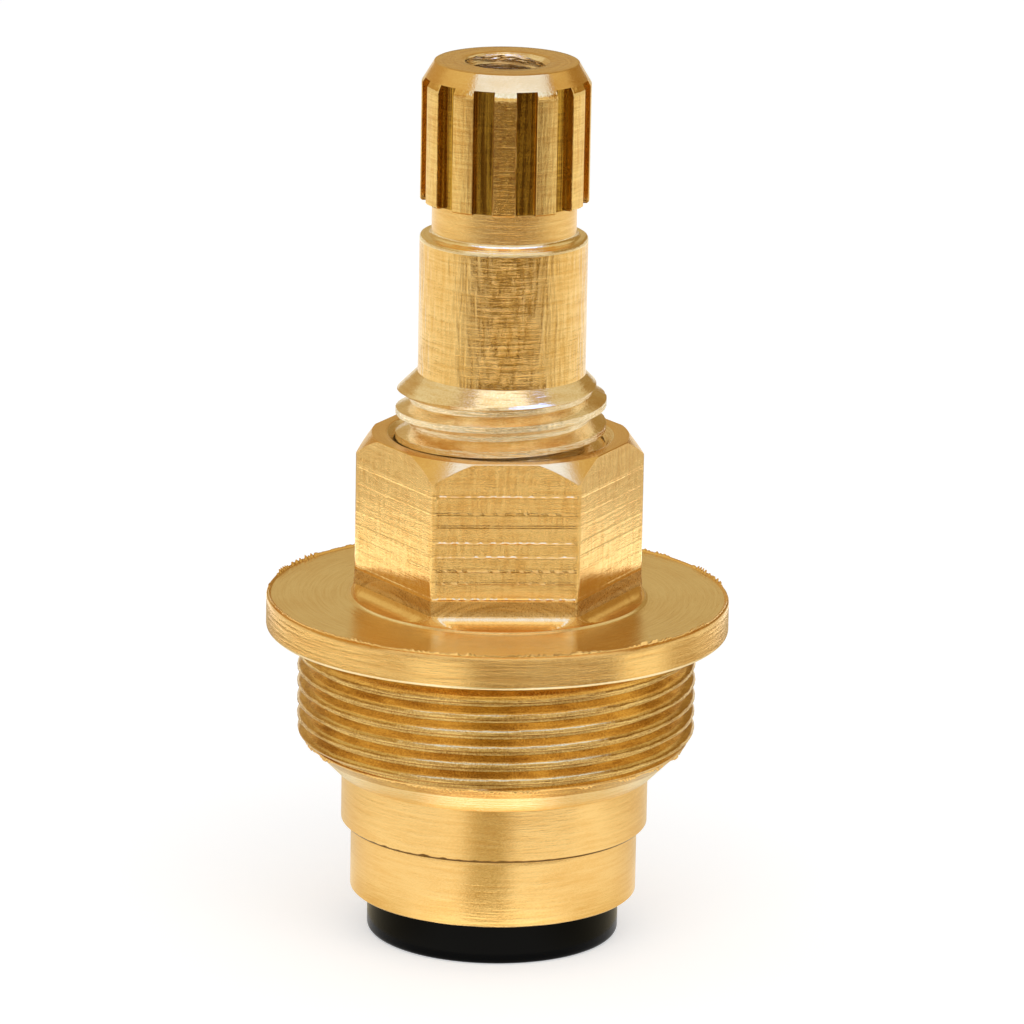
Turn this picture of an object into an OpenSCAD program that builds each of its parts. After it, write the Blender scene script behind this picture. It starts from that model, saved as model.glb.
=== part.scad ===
// Compression tap cartridge with a rising spindle, shown fully open.
// The axis is Z, the rubber seat washer stands on Z = 0 and the splined head is at the top.
// Turning the spindle clockwise winds it down its lead thread and presses the washer on the seat.

/* [Splined head] */
// Diameter over the splines
head_d = 10.06; // [9.6:0.02:10.6]
// Height of the head from its neck to its top
head_h = 8.35; // [7.5:0.05:11]
// Diameter of the flat on top of the head
head_flat_d = 8.56; // [7.6:0.02:9.2]
// Height of the cone between the flat and the splines
head_cone_h = 1.25; // [0.8:0.05:2]
// Number of spline grooves round the head
spline_count = 12; // [8:1:14]
// Width of one spline groove
spline_w = 1.24; // [0.8:0.02:1.5]
// Depth of the spline grooves
spline_depth = 0.53; // [0.3:0.01:0.7]
// Distance from the top of the head to the closed end of the grooves
spline_stop = 0.95; // [0.6:0.05:1.6]
// Angle of one tooth's middle about the axis at rest
spline_turn = 266.5; // [240:0.5:300]
// Diameter of the tapped hole for the handle screw, at its thread's crests
handle_hole_d = 4.2; // [3:0.1:5]
// Depth of the tapped hole
handle_hole_depth = 12; // [8:0.5:14]
// Diameter of the countersink at the hole's mouth
handle_sink_d = 5.02; // [4.6:0.02:5.6]

/* [Neck and journal] */
// Diameter of the neck under the head
neck_d = 8.62; // [8:0.02:8.8]
// Height of the neck
neck_h = 2.12; // [1.5:0.02:4]
// Radius of the fillet at the foot of the neck
neck_fillet = 0.3; // [0.1:0.05:0.5]
// Diameter of the plain journal
journal_d = 10.02; // [9.6:0.02:10.4]
// Height of the plain journal
journal_h = 8.3; // [6:0.1:12]

/* [Lead thread] */
// Crest diameter of the spindle's lead thread
lead_d = 12.6; // [12.2:0.05:12.8]
// Rise of the lead thread in one turn
lead_pitch = 1.5; // [1.4:0.05:1.6]
// Depth of the lead thread
lead_depth = 0.85; // [0.7:0.01:0.9]
// Width of the flat at the lead thread's root
lead_root_w = 0.3; // [0.2:0.02:0.4]
// Width of the flat at the lead thread's crest
lead_crest_w = 0.38; // [0.3:0.02:0.5]
// Length of thread that shows above the bonnet when the valve is open
lead_shown = 3.88; // [3.8:0.02:5]
// Clearance round the lead thread in the bonnet
lead_play = 0.1; // [0.06:0.01:0.14]
// Angle at which a groove of the thread reaches the foot of the journal
lead_turn = 237; // [180:1:300]

/* [Bonnet hexagon] */
// Width across the hexagon's flats
hex_af = 15; // [14.6:0.1:17]
// Height of the hexagon above the flange
hex_h = 10; // [8:0.1:13]
// Diameter of the round flat left on top by the corner chamfer
hex_top_d = 15.4; // [15:0.1:16.4]
// Height of the chamfer at the hexagon's corners
hex_chamfer_h = 1.3; // [0.6:0.05:2]
// Radius that the cutter leaves at the foot of each flat
hex_foot_r = 0.95; // [0.5:0.05:1.4]
// Diameter of the turned land at the foot of the hexagon
hex_land_d = 17.7; // [17.5:0.1:20]
// Height of the turned land
hex_land_h = 0.12; // [0.06:0.02:0.3]
// Diameter of the countersink at the bonnet's mouth
mouth_d = 13.5; // [13.1:0.1:14]

/* [Bonnet flange and thread] */
// Diameter of the flange
flange_d = 27.8; // [26.5:0.1:32]
// Thickness of the flange
flange_t = 2; // [1.5:0.1:4]
// Size of the broken edges of the flange
flange_edge = 0.1; // [0.05:0.05:0.3]
// Crest diameter of the body thread
body_thread_d = 24; // [22.5:0.5:25]
// Pitch of the body thread
body_pitch = 1; // [0.9:0.05:1.2]
// Depth of the body thread
body_depth = 0.61; // [0.5:0.01:0.62]
// Width of the flat at the body thread's root
body_root_w = 0.18; // [0.1:0.02:0.24]
// Width of the flat at the body thread's crest
body_crest_w = 0.12; // [0.1:0.02:0.2]
// Distance from the flange to the end of the body thread's chamfer
body_thread_h = 8.7; // [7:0.1:12]
// Height of the chamfer at the end of the body thread
body_chamfer_h = 2.4; // [1.5:0.1:2.6]
// Height of the relief groove under the flange
body_relief_h = 0.8; // [0.7:0.05:1.2]
// Depth of the undercut that keeps the flange's seat clear of the thread
seat_relief_h = 0.1; // [0.05:0.05:0.3]
// Width of the undercut beyond the body thread
seat_relief_w = 0.2; // [0.1:0.05:0.5]
// Angle at which a groove of the body thread reaches the flange
body_turn = 123; // [60:1:180]

/* [Bonnet skirt and bore] */
// Diameter of the plain skirt
skirt_d = 18.5; // [17.8:0.1:19]
// Length of the plain skirt
skirt_h = 3.34; // [3:0.02:6]
// Size of the broken edge at the skirt's end
skirt_edge = 0.12; // [0.05:0.01:0.3]
// Diameter of the bore that the piston slides in
bore_d = 14; // [13.6:0.1:14.6]
// Distance from the flange's upper face down to the stop at the top of the bore
bore_stop = 1; // [0.8:0.1:1.6]

/* [Spindle piston] */
// Radial clearance of the piston in its bore
piston_play = 0.07; // [0.04:0.01:0.1]
// Gap between the piston and the stop in the bore when the valve is open
stop_gap = 0.05; // [0.02:0.01:0.2]
// Height of the relief between the lead thread and the piston
lead_relief_h = 1.57; // [1.5:0.01:2.2]
// Distance from the top of the piston to the middle of the upper ring groove
ring_first = 2.2; // [1.8:0.1:2.6]
// Distance between the two ring grooves
ring_step = 4; // [3:0.1:4.4]
// Thickness of the rubber rings
ring_cord = 1.5; // [1.3:0.05:1.6]
// Squeeze of the rubber rings between groove and bore
ring_squeeze = 0.2; // [0.1:0.02:0.3]
// Width of the ring grooves beyond the rings' thickness
ring_side_play = 0.4; // [0.2:0.05:0.6]
// Clearance of a seated ring, washer or clip from the piece it sits on
seat_play = 0.02; // [0.01:0.01:0.04]

/* [Jumper valve] */
// Diameter of the washer cup
cup_d = 17.3; // [16.6:0.1:18]
// Height of the washer cup
cup_h = 4.08; // [3.4:0.02:6]
// Gap between the cup and the bonnet's skirt when the valve is open
cup_gap = 0.08; // [0.02:0.02:0.2]
// Radial clearance in the bore of the collar that carries the thrust washer
collar_room = 0.6; // [0.3:0.1:1.6]
// Height of the collar
collar_h = 0.8; // [0.5:0.05:1.5]
// Diameter of the stem
stem_d = 6; // [5.6:0.1:6.6]
// Length of the stem above the collar
stem_h = 7.3; // [6.6:0.1:8.4]
// Radial clearance of the stem in the spindle
stem_play = 0.05; // [0.03:0.01:0.1]
// Room above the stem in its bore
stem_room = 1; // [0.4:0.1:1.6]
// Thickness of the thrust washer
thrust_t = 0.6; // [0.4:0.05:1]

/* [Stem clip] */
// Height of the clip's lower face above the collar
clip_up = 4.4; // [3:0.1:5]
// Thickness of the clip
clip_t = 0.6; // [0.4:0.05:0.8]
// Depth of the clip's groove in the stem
clip_depth = 0.6; // [0.4:0.05:0.8]
// Distance that the clip stands out of the stem
clip_proud = 0.4; // [0.2:0.05:0.5]
// Angle that the open side of the clip takes
clip_open = 60; // [30:5:90]
// Clearance round the clip in the spindle's groove
clip_room = 0.1; // [0.05:0.05:0.2]

/* [Seat washer] */
// Diameter of the rubber washer
washer_d = 15.2; // [14:0.1:16]
// Length of the washer below the cup
washer_proud = 2.7; // [2.4:0.05:4]
// Depth of the cup's recess
washer_seat = 1.6; // [1:0.1:2]
// Radius of the washer's lower edge
washer_edge = 0.35; // [0.1:0.05:0.6]
// Diameter of the recess round the screw
washer_sink_d = 8.4; // [8:0.1:10]
// Depth of the recess round the screw
washer_sink_h = 2.2; // [2.1:0.05:2.6]

/* [Washer screw] */
// Shank diameter
screw_d = 3.9; // [3:0.1:4.2]
// Head diameter
screw_head_d = 6.8; // [5.6:0.1:7.4]
// Head height
screw_head_h = 1.3; // [1:0.05:1.5]
// Length under the head
screw_len = 6.6; // [5.4:0.1:7]
// Width of the driver slot
screw_slot_w = 0.8; // [0.5:0.05:1.2]
// Depth of the driver slot
screw_slot_h = 0.7; // [0.4:0.05:0.8]
// Thickness of the washer under the head
screw_washer_t = 0.5; // [0.3:0.05:0.6]
// Radial clearance of the screw and its washer
screw_play = 0.05; // [0.03:0.01:0.1]
// Room beyond the screw's tip in its hole
screw_room = 0.5; // [0.2:0.1:1]

/* [Hidden] */

// Smoothness of round faces and of the threads
$fn = 96;
thread_steps = 40;
body_thread_steps = 60;
// Overlap of cutting shapes past the faces they cut
past = 1;
// Reach of a thread cutter beyond the crest it cuts
thread_past = 0.2;
// Depth of a thread's relief below its root
relief_under = 0.1;
// Size of the edges that are only just broken
edge = 0.1;
// Size of the lead-in chamfers
lead_in = 0.3;
// Angle of a drill's point from flat
drill_tip = 31;

// Heights of the faces, from the washer's face upwards
cup_z = washer_proud;
cup_top_z = cup_z + cup_h;
skirt_z = cup_top_z + cup_gap;
thread_end_z = skirt_z + skirt_h;
flange_z = thread_end_z + body_thread_h;
hex_z = flange_z + flange_t;
hex_top_z = hex_z + hex_h;
stop_z = hex_z - bore_stop;
collar_top_z = cup_top_z + collar_h;
piston_z = collar_top_z + thrust_t;
piston_top_z = stop_z - stop_gap;
upper_ring_z = piston_top_z - ring_first;
lower_ring_z = upper_ring_z - ring_step;
lead_foot_z = piston_top_z + lead_relief_h;
journal_z = hex_top_z + lead_shown;
neck_z = journal_z + journal_h;
head_z = neck_z + neck_h;
top_z = head_z + head_h;

// Radii shared by pieces that fit each other
bore_r = bore_d / 2;
piston_r = bore_r - piston_play;
collar_r = bore_r - collar_room;
lead_r = lead_d / 2;
lead_root_r = lead_r - lead_depth;
lead_slope = (lead_pitch - lead_root_w - lead_crest_w) / 2 / lead_depth;
body_root_r = body_thread_d / 2 - body_depth;
stem_r = stem_d / 2;
clip_in_r = stem_r - clip_depth;
clip_out_r = stem_r + clip_proud;
clip_z = collar_top_z + clip_up;
screw_hole_r = screw_d / 2 + screw_play;
screw_washer_z = washer_sink_h - screw_washer_t;
screw_head_z = screw_washer_z - screw_head_h;
screw_tip_z = screw_washer_z + screw_len;
washer_top_z = cup_z + washer_seat - seat_play;

// Tightest part of the squeezed rubber rings
ring_out_r = bore_r - seat_play;
ring_floor_r = bore_r - ring_cord + ring_squeeze;
ring_w = ring_cord + ring_side_play;

brass = "#d2a552";
brass_dark = "#b98a3c";
rubber = "#161616";
fibre = "#8c3a2c";
steel = "#b9bcc0";

// Points of a section carried up a helix: each section point is [radius, height]
function helix_points(section, pitch, steps, count) = [
    for (i = [0:count])
        let (angle = 360 * i / steps)
        for (q = section) [q[0] * cos(angle), q[0] * sin(angle), q[1] + pitch * i / steps]
];

// Triangles between one ring of section points and the next, then the two ends
function helix_faces(size, count) = concat(
    [[for (j = [0:size - 1]) size - 1 - j]],
    [[for (j = [0:size - 1]) count * size + j]],
    [for (i = [0:count - 1], j = [0:size - 1])
        [i * size + j, i * size + (j + 1) % size, (i + 1) * size + j]],
    [for (i = [0:count - 1], j = [0:size - 1])
        [i * size + (j + 1) % size, (i + 1) * size + (j + 1) % size, (i + 1) * size + j]]
);

// Right-handed bar from height low to height high, passing height at angle turn
module helix_bar(section, pitch, steps, low, high, height, turn) {
    count = ceil((high - low) / pitch * steps);
    translate([0, 0, low])
        rotate([0, 0, turn + 360 * (low - height) / pitch])
            polyhedron(
                points = helix_points(section, pitch, steps, count),
                faces = helix_faces(len(section), count),
                convexity = 10
            );
}

// Groove section from an inner to an outer radius, given its half widths there
function groove(in_r, in_half, out_r, out_half) =
    [[in_r, -in_half], [out_r, -out_half], [out_r, out_half], [in_r, in_half]];

// Half width of the spindle's lead ridge at a radius
function lead_half(r) = lead_pitch / 2 - lead_root_w / 2 - lead_slope * (r - lead_root_r);

// Cutter for the spindle's lead thread
module lead_cutter_outside() {
    out_r = lead_r + thread_past;
    half = lead_root_w / 2 + lead_slope * (out_r - lead_root_r);
    helix_bar(groove(lead_root_r, lead_root_w / 2, out_r, half), lead_pitch, thread_steps,
        piston_top_z + lead_pitch / 2, journal_z + lead_pitch / 2, journal_z, lead_turn);
}

// Cutter for the bonnet's lead thread, half a pitch away so that the two mesh at rest
module lead_cutter_inside() {
    in_r = lead_root_r - lead_play / 2;
    out_r = lead_r + lead_play;
    helix_bar(groove(in_r, lead_half(in_r) + lead_play, out_r, lead_half(out_r) + lead_play),
        lead_pitch, thread_steps,
        stop_z - lead_pitch, hex_top_z + lead_pitch / 2, journal_z + lead_pitch / 2, lead_turn);
}

// Cutter for the body thread: it starts in the relief and leaves through the end chamfer
module body_cutter() {
    slope = (body_pitch - body_root_w - body_crest_w) / 2 / body_depth;
    out_r = body_thread_d / 2 + thread_past / 4;
    half = body_root_w / 2 + slope * (out_r - body_root_r);
    helix_bar(groove(body_root_r, body_root_w / 2, out_r, half), body_pitch, body_thread_steps,
        thread_end_z + body_chamfer_h - body_depth - half - body_pitch / 4,
        flange_z - half - flange_edge / 2, flange_z, body_turn);
}

// Turned outside of the bonnet, from the skirt to the flange
module bonnet_turned() {
    body_r = body_thread_d / 2;
    relief_r = body_root_r - relief_under;
    rotate_extrude() polygon([
        [0, skirt_z],
        [skirt_d / 2 - skirt_edge, skirt_z],
        [skirt_d / 2, skirt_z + skirt_edge],
        [skirt_d / 2, thread_end_z],
        [body_r - body_chamfer_h, thread_end_z],
        [body_r, thread_end_z + body_chamfer_h],
        [body_r, flange_z - body_relief_h],
        [relief_r, flange_z - body_relief_h],
        [relief_r, flange_z + seat_relief_h],
        [body_r + seat_relief_w, flange_z + seat_relief_h],
        [body_r + seat_relief_w, flange_z],
        [flange_d / 2 - flange_edge, flange_z],
        [flange_d / 2, flange_z + flange_edge],
        [flange_d / 2, hex_z - flange_edge],
        [flange_d / 2 - flange_edge, hex_z],
        [0, hex_z],
    ]);
}

// Hexagon with chamfered corners, on a turned land
module bonnet_hex() {
    hex_r = hex_af / 2 / cos(30);
    land_r = hex_land_d / 2;
    chamfer_run = hex_r - hex_top_d / 2;
    intersection() {
        translate([0, 0, hex_z - past / 2])
            cylinder(r = hex_r, h = hex_h + past / 2, $fn = 6);
        rotate_extrude() polygon([
            [0, hex_z - past],
            [hex_r + chamfer_run, hex_z - past],
            [hex_r + chamfer_run, hex_top_z - 2 * hex_chamfer_h],
            [hex_top_d / 2, hex_top_z],
            [0, hex_top_z],
        ]);
    }
    translate([0, 0, hex_z - past / 2])
        cylinder(r = land_r, h = hex_land_h + past / 2);
    // Metal that the cutter's radius leaves at the foot of each flat
    intersection() {
        difference() {
            translate([0, 0, hex_z - past / 2])
                cylinder(r = land_r, h = hex_land_h + hex_foot_r + past / 2);
            for (i = [0:5]) rotate([0, 0, 60 * i + 30]) hex_foot_cut();
        }
        translate([0, 0, hex_z - past / 2])
            cylinder(r = hex_r, h = hex_foot_r + hex_land_h + past);
    }
}

// Sweep of the cutter along one flat, down to the top of the land
module hex_foot_cut() {
    foot_z = hex_z + hex_land_h;
    reach = hex_land_d;
    translate([hex_af / 2 + hex_foot_r, 0, foot_z + hex_foot_r]) {
        rotate([90, 0, 0]) cylinder(r = hex_foot_r, h = reach, center = true);
        translate([0, -reach / 2, -hex_foot_r]) cube([reach, reach, 2 * hex_foot_r + past]);
        translate([-hex_foot_r, -reach / 2, 0]) cube([reach, reach, hex_foot_r + past]);
    }
}

module bonnet() {
    minor_r = lead_root_r + lead_play;
    mouth_r = mouth_d / 2;
    color(brass) difference() {
        union() {
            bonnet_turned();
            bonnet_hex();
        }
        translate([0, 0, skirt_z - past]) cylinder(r = bore_r, h = stop_z - skirt_z + past);
        translate([0, 0, skirt_z - past]) cylinder(r = minor_r, h = hex_top_z - skirt_z + 2 * past);
        translate([0, 0, hex_top_z - mouth_r + minor_r])
            cylinder(r1 = minor_r, r2 = mouth_r + past, h = mouth_r - minor_r + past);
        body_cutter();
        lead_cutter_inside();
    }
}

// One ring groove of the piston, as points of the turned profile
function ring_groove(middle) = [
    [piston_r, middle - ring_w / 2],
    [ring_floor_r - seat_play, middle - ring_w / 2],
    [ring_floor_r - seat_play, middle + ring_w / 2],
    [piston_r, middle + ring_w / 2],
];

// Concave fillet where the neck meets the journal
function neck_foot() = [
    for (a = [0:15:90])
        [neck_d / 2 + neck_fillet * (1 - cos(a)), neck_z + neck_fillet * (1 - sin(a))]
];

module spindle_turned() {
    relief_r = lead_root_r - relief_under;
    rotate_extrude() polygon(concat(
        [[0, piston_z], [piston_r - lead_in, piston_z], [piston_r, piston_z + lead_in]],
        ring_groove(lower_ring_z),
        ring_groove(upper_ring_z),
        [
            [piston_r, piston_top_z - edge],
            [piston_r - edge, piston_top_z],
            [relief_r, piston_top_z],
            [relief_r, lead_foot_z],
            [lead_r, lead_foot_z + lead_r - relief_r],
            [lead_r, journal_z - lead_r + journal_d / 2],
            [journal_d / 2, journal_z],
            [journal_d / 2, neck_z - edge],
            [journal_d / 2 - edge, neck_z],
        ],
        [for (i = [6:-1:0]) neck_foot()[i]],
        [
            [neck_d / 2, head_z],
            [head_d / 2 - edge, head_z],
            [head_d / 2, head_z + edge],
            [head_d / 2, top_z - head_cone_h],
            [head_flat_d / 2, top_z],
            [0, top_z],
        ]
    ));
}

// Tapped hole for the handle screw, with its countersink and the drill's point
module handle_hole() {
    hole_r = handle_hole_d / 2;
    sink_r = handle_sink_d / 2;
    translate([0, 0, top_z - handle_hole_depth]) cylinder(r = hole_r, h = handle_hole_depth + past);
    translate([0, 0, top_z - handle_hole_depth - hole_r * tan(drill_tip)])
        cylinder(r1 = 0, r2 = hole_r, h = hole_r * tan(drill_tip));
    translate([0, 0, top_z - sink_r + hole_r])
        cylinder(r1 = hole_r, r2 = sink_r + past, h = sink_r - hole_r + past);
}

// One spline groove, along +X, open to the neck and closed below the head's top
module spline_groove() {
    floor_r = head_d / 2 - spline_depth;
    translate([floor_r, -spline_w / 2, head_z - neck_h / 4])
        cube([past + spline_depth, spline_w, head_h - spline_stop + neck_h / 4]);
}

// Blind bore for the jumper's stem, with the groove that its clip turns in
module stem_bore() {
    bore_h = stem_h - thrust_t + stem_room;
    translate([0, 0, piston_z - past]) cylinder(r = stem_r + stem_play, h = bore_h + past);
    translate([0, 0, piston_z + bore_h])
        cylinder(r1 = stem_r + stem_play, r2 = 0, h = stem_r * tan(drill_tip));
    translate([0, 0, clip_z - clip_room])
        cylinder(r = clip_out_r + clip_room, h = clip_t + 2 * clip_room);
    translate([0, 0, piston_z - past]) cylinder(r = stem_r + lead_in, h = past + lead_in);
}

module spindle() {
    color(brass) difference() {
        spindle_turned();
        lead_cutter_outside();
        handle_hole();
        stem_bore();
        for (i = [0:spline_count - 1])
            rotate([0, 0, spline_turn + 360 * (i + 0.5) / spline_count]) spline_groove();
    }
}

// Rubber ring squeezed flat against its groove and its bore
module o_ring(middle) {
    centre_r = (ring_out_r + ring_floor_r) / 2;
    color(rubber) intersection() {
        translate([0, 0, middle])
            rotate_extrude() translate([centre_r, 0]) circle(r = ring_cord / 2, $fn = 48);
        difference() {
            translate([0, 0, middle - ring_cord]) cylinder(r = ring_out_r, h = 2 * ring_cord);
            translate([0, 0, middle - ring_cord - past])
                cylinder(r = ring_floor_r, h = 2 * ring_cord + 2 * past);
        }
    }
}

module upper_o_ring() o_ring(upper_ring_z);
module lower_o_ring() o_ring(lower_ring_z);

// Cup for the seat washer, with the stem that carries it in the spindle
module jumper_valve() {
    stem_top_z = collar_top_z + stem_h;
    color(brass_dark) difference() {
        rotate_extrude() polygon([
            [0, cup_z],
            [cup_d / 2, cup_z],
            [cup_d / 2, cup_top_z - edge],
            [cup_d / 2 - edge, cup_top_z],
            [collar_r, cup_top_z],
            [collar_r, collar_top_z],
            [stem_r, collar_top_z],
            [stem_r, clip_z - seat_play],
            [clip_in_r, clip_z - seat_play],
            [clip_in_r, clip_z + clip_t + seat_play],
            [stem_r, clip_z + clip_t + seat_play],
            [stem_r, stem_top_z - lead_in],
            [stem_r - lead_in, stem_top_z],
            [0, stem_top_z],
        ]);
        translate([0, 0, cup_z - past])
            cylinder(r = washer_d / 2 + screw_play, h = washer_seat + past);
        translate([0, 0, cup_z]) cylinder(r = screw_hole_r, h = screw_tip_z + screw_room - cup_z);
    }
}

module thrust_washer() {
    color(fibre) translate([0, 0, collar_top_z]) difference() {
        cylinder(r = collar_r, h = thrust_t);
        translate([0, 0, -past]) cylinder(r = stem_r + stem_play, h = thrust_t + 2 * past);
    }
}

// Spring clip in the stem's groove, open on one side
module stem_clip() {
    color(steel) translate([0, 0, clip_z]) rotate([0, 0, clip_open / 2])
        rotate_extrude(angle = 360 - clip_open)
            translate([clip_in_r + seat_play, 0]) square([clip_out_r - clip_in_r - seat_play, clip_t]);
}

// Rubber washer with a rounded lower edge and a recess for the screw's head
module seat_washer() {
    edge_r = washer_d / 2 - washer_edge;
    color(rubber) rotate_extrude() polygon(concat(
        [[screw_hole_r, washer_sink_h], [washer_sink_d / 2, washer_sink_h], [washer_sink_d / 2, 0]],
        [for (a = [-90:15:0]) [edge_r + washer_edge * cos(a), washer_edge + washer_edge * sin(a)]],
        [[washer_d / 2, washer_top_z], [screw_hole_r, washer_top_z]]
    ));
}

module screw_washer() {
    color(brass_dark) translate([0, 0, screw_washer_z]) difference() {
        cylinder(r = washer_sink_d / 2 - screw_play, h = screw_washer_t);
        translate([0, 0, -past]) cylinder(r = screw_hole_r, h = screw_washer_t + 2 * past);
    }
}

// Slotted cheese-head screw that holds the washer
module washer_screw() {
    color(brass) difference() {
        union() {
            translate([0, 0, screw_head_z]) cylinder(r = screw_head_d / 2, h = screw_head_h);
            translate([0, 0, screw_head_z]) cylinder(r = screw_d / 2, h = screw_tip_z - screw_head_z);
        }
        translate([-screw_head_d, -screw_slot_w / 2, screw_head_z - past])
            cube([2 * screw_head_d, screw_slot_w, screw_slot_h + past]);
    }
}

bonnet();
spindle();
upper_o_ring();
lower_o_ring();
jumper_valve();
thrust_washer();
stem_clip();
seat_washer();
screw_washer();
washer_screw();
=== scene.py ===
# Compression tap cartridge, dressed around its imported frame
# Metres and +Z up. Lengths in the dictionaries are in millimetres: R ends the name of a radius, H that of a
# height or depth and Z that of a height above the washer's face
import math

import bmesh
import bpy
import numpy as np
from mathutils import Matrix, Vector


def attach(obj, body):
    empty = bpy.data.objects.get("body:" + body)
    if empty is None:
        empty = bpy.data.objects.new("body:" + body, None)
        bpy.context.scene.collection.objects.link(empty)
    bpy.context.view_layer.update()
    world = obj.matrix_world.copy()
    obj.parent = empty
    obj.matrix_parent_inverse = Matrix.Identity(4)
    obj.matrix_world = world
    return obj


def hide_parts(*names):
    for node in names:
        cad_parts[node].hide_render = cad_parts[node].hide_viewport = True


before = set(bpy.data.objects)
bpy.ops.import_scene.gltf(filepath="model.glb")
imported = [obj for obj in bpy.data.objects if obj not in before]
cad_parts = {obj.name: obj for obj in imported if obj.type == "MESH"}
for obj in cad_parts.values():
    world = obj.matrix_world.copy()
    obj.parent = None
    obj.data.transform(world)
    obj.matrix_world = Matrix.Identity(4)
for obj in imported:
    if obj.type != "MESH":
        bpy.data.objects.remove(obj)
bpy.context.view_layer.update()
scene = bpy.context.scene
millimetre = 0.001
fullTurn = 2 * math.pi
mergeMm = 0.0001  # points of a mesh that are closer than this are one
print("frame loaded:", len(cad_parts), "nodes")

# Heights of the faces that pieces share, as the frame has them, from the washer's face up
heights = {
    "cup": 2.7,
    "cupTop": 6.78,
    "skirt": 6.86,
    "collarTop": 7.58,
    "piston": 8.18,
    "threadEnd": 10.2,
    "lowerRing": 13.65,
    "upperRing": 17.65,
    "flange": 18.9,
    "pistonTop": 19.85,
    "stop": 19.9,
    "hexFoot": 20.9,
    "hexTop": 30.9,
    "journal": 34.78,
    "neck": 43.08,
    "head": 45.2,
    "top": 53.55,
}

# The lead thread that the spindle and the bonnet share, with the play between them
leadThread = {
    "pitch": 1.5,
    "crestR": 6.3,
    "rootR": 5.45,
    "rootFlat": 0.3,
    "crestFlat": 0.38,
    "play": 0.1,
    "startDegrees": 237,
}


# Shapes: every function below works on whole arrays

def waves(angle, along, count, mostTurns, perMm, seed):
    # Sum of count cosines of (whole turns x angle + wave number x length along), with set phases. It closes
    # round the axis and has a spread of 1
    rng = np.random.default_rng(seed)
    turns = rng.integers(-mostTurns, mostTurns + 1, count)
    wave = rng.normal(0, perMm * fullTurn, count)
    phase = rng.uniform(0, fullTurn, count)
    total = 0
    for n, k, p in zip(turns, wave, phase):
        total = total + np.cos(n * angle + k * along + p)
    return total / math.sqrt(count / 2)


def fromGroove(angle, z, pitch, grooveZ, startDegrees):
    # Height above the nearest middle of a right-hand groove: z less (grooveZ + pitch x turns past the start),
    # wrapped to within half a pitch
    turns = angle / fullTurn - startDegrees / 360
    return (z - grooveZ - pitch * turns + pitch / 2) % pitch - pitch / 2


def column(values):
    return np.asarray(values, float)[:, None]


def evenColumns(count):
    # Angles round the axis, as a row
    return np.linspace(0, fullTurn, count, endpoint=False)[None, :]


def steps(start, end, count):
    # count + 1 evenly spaced values, as a column
    return column(np.linspace(start, end, count + 1))


def gridMesh(name, r, z, angle, joined, material, poles=None, sharpDegrees=32):
    # Point (row, column) = (r cos angle, r sin angle, z). Rows run up the inside and down the outside, so
    # that faces point outwards. A row closes round the axis onto the row that joined gives: itself or, on a
    # thread, one pitch away. The rows end in two poles or, without poles, close too. Points that meet are
    # merged
    x, y = r * np.cos(angle), r * np.sin(angle)
    points = np.stack([x, y, z], -1).reshape(-1, 3)
    rows, columns = r.shape
    index = np.arange(rows * columns).reshape(rows, columns)
    beside = np.roll(index, -1, 1)
    beside[:, -1] = index[joined, 0]
    quads = np.stack([index, np.roll(index, -1, 0), np.roll(beside, -1, 0), beside], -1)
    if poles:
        quads, material = quads[:-1], material[:-1]
    faces = quads.reshape(-1, 4).tolist()
    material = material.reshape(-1)
    if poles:
        first, last = len(points), len(points) + 1
        points = np.vstack([points, [[0, 0, poles[0]], [0, 0, poles[1]]]])
        faces += np.stack([np.full(columns, first), index[0], beside[0]], -1).tolist()
        faces += np.stack([index[-1], np.full(columns, last), beside[-1]], -1).tolist()
        material = np.concatenate([material, np.full(columns, material[0]), np.full(columns, material[-1])])
    mesh = bpy.data.meshes.new(name)
    mesh.from_pydata(points * millimetre, [], faces)
    mesh.polygons.foreach_set("use_smooth", np.ones(len(faces), bool))
    mesh.polygons.foreach_set("material_index", material.astype(np.int32))
    shell = bmesh.new()
    shell.from_mesh(mesh)
    bmesh.ops.remove_doubles(shell, verts=shell.verts, dist=mergeMm * millimetre)
    shell.to_mesh(mesh)
    shell.free()
    mesh.set_sharp_from_angle(angle=math.radians(sharpDegrees))
    piece = bpy.data.objects.new(name, mesh)
    scene.collection.objects.link(piece)
    return piece


def threadKnots(rootFlat, crestFlat, pitch):
    # Distances from a groove's middle to the next: the edges of root, flank and crest, the middle of each
    # flank and a point close to each crest
    run = (pitch - rootFlat - crestFlat) / 2
    half = [0, rootFlat / 2, rootFlat / 2 + 0.5 * run, rootFlat / 2 + 0.93 * run, rootFlat / 2 + run]
    return np.array(half + [pitch / 2] + [pitch - k for k in half[:0:-1]])


# Of the lead thread: its rows, the depth and height of its flanks, and the pitch, height and direction of the
# middle of each piece's groove
leadKnots = threadKnots(leadThread["rootFlat"], leadThread["crestFlat"], leadThread["pitch"])
leadDepth = leadThread["crestR"] - leadThread["rootR"]
leadRun = (leadThread["pitch"] - leadThread["rootFlat"] - leadThread["crestFlat"]) / 2
spindleGroove = (leadThread["pitch"], heights["journal"], leadThread["startDegrees"])
bonnetGroove = (leadThread["pitch"], heights["journal"] + leadThread["pitch"] / 2, leadThread["startDegrees"])


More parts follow.
